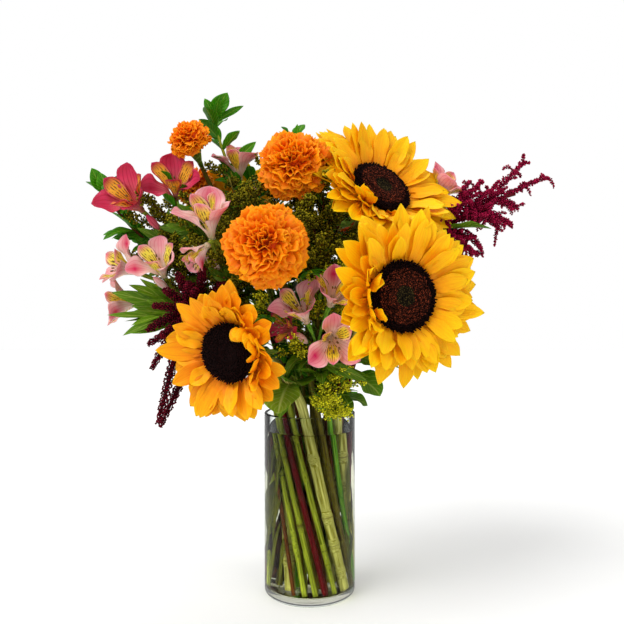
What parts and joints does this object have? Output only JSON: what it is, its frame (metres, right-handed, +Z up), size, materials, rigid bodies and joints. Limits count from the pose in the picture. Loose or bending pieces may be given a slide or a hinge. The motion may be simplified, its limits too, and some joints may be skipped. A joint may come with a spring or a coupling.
{
  "type": "sunflowers in a vase",
  "caption": "Full bouquet of sunflowers, orange marigolds, pink alstroemerias, amaranth and goldenrod in a clear glass cylinder vase of water.",
  "frame": {"origin": "middle of the vase's flat foot, on the surface that it stands on", "axes": "+Z up, -Y towards the front of the bouquet, +X to the right as seen from the front"},
  "size_m": [0.5016, 0.3618, 0.5566],
  "materials": {
    "glass": "clear, polished glass",
    "water": null,
    "sunflower_petal": "soft satin petal, golden yellow",
    "sunflower_disc": "rough dark brown florets",
    "marigold_petal": "soft ruffled petal, orange",
    "pink_tepal": "soft satin tepal, pale pink",
    "deep_pink_tepal": "soft satin tepal, deep pink",
    "stem": "waxy green stem and leaf",
    "amaranth": "velvety burgundy florets",
    "goldenrod": "fine yellow-green florets",
    "leaf": "glossy dark green leaf"
  },
  "bodies": {
    "root": {"alstroemeria_front_bloom_1": "pink_tepal", "alstroemeria_front_bloom_2": "pink_tepal", "alstroemeria_front_stem": "stem", "alstroemeria_left_bloom_1": "deep_pink_tepal", "alstroemeria_left_bloom_2": "deep_pink_tepal", "alstroemeria_left_stem": "stem", "alstroemeria_low_bloom_1": "pink_tepal", "alstroemeria_low_bloom_2": "pink_tepal", "alstroemeria_low_bloom_3": "pink_tepal", "alstroemeria_low_stem": "stem", "alstroemeria_middle_bloom_1": "pink_tepal", "alstroemeria_middle_stem": "stem", "alstroemeria_rear_bloom_1": "pink_tepal", "alstroemeria_rear_stem": "stem", "alstroemeria_right_bloom_1": "pink_tepal", "alstroemeria_right_bloom_2": "pink_tepal", "alstroemeria_right_stem": "stem", "alstroemeria_top_bloom_1": "pink_tepal", "alstroemeria_top_bloom_2": "pink_tepal", "alstroemeria_top_stem": "stem", "amaranth_left": "amaranth", "amaranth_rear": "amaranth", "amaranth_right": "amaranth", "branch_back": "leaf", "branch_centre": "leaf", "branch_left": "leaf", "branch_top": "leaf", "goldenrod_back": "goldenrod", "goldenrod_centre": "goldenrod", "goldenrod_front": "goldenrod", "goldenrod_left": "goldenrod", "goldenrod_low": "goldenrod", "goldenrod_right": "goldenrod", "marigold_back_head": "marigold_petal", "marigold_back_stem": "stem", "marigold_centre_head": "marigold_petal", "marigold_centre_stem": "stem", "marigold_side_head": "marigold_petal", "marigold_side_stem": "stem", "marigold_small_head": "marigold_petal", "marigold_small_stem": "stem", "marigold_top_head": "marigold_petal", "marigold_top_stem": "stem", "sunflower_back_disc": "sunflower_disc", "sunflower_back_petals": "sunflower_petal", "sunflower_back_stem": "stem", "sunflower_front_disc": "sunflower_disc", "sunflower_front_petals": "sunflower_petal", "sunflower_front_stem": "stem", "sunflower_left_disc": "sunflower_disc", "sunflower_left_petals": "sunflower_petal", "sunflower_left_stem": "stem", "sunflower_right_disc": "sunflower_disc", "sunflower_right_petals": "sunflower_petal", "sunflower_right_stem": "stem", "vase": "glass", "water": "water"}
  },
  "joints": []
}
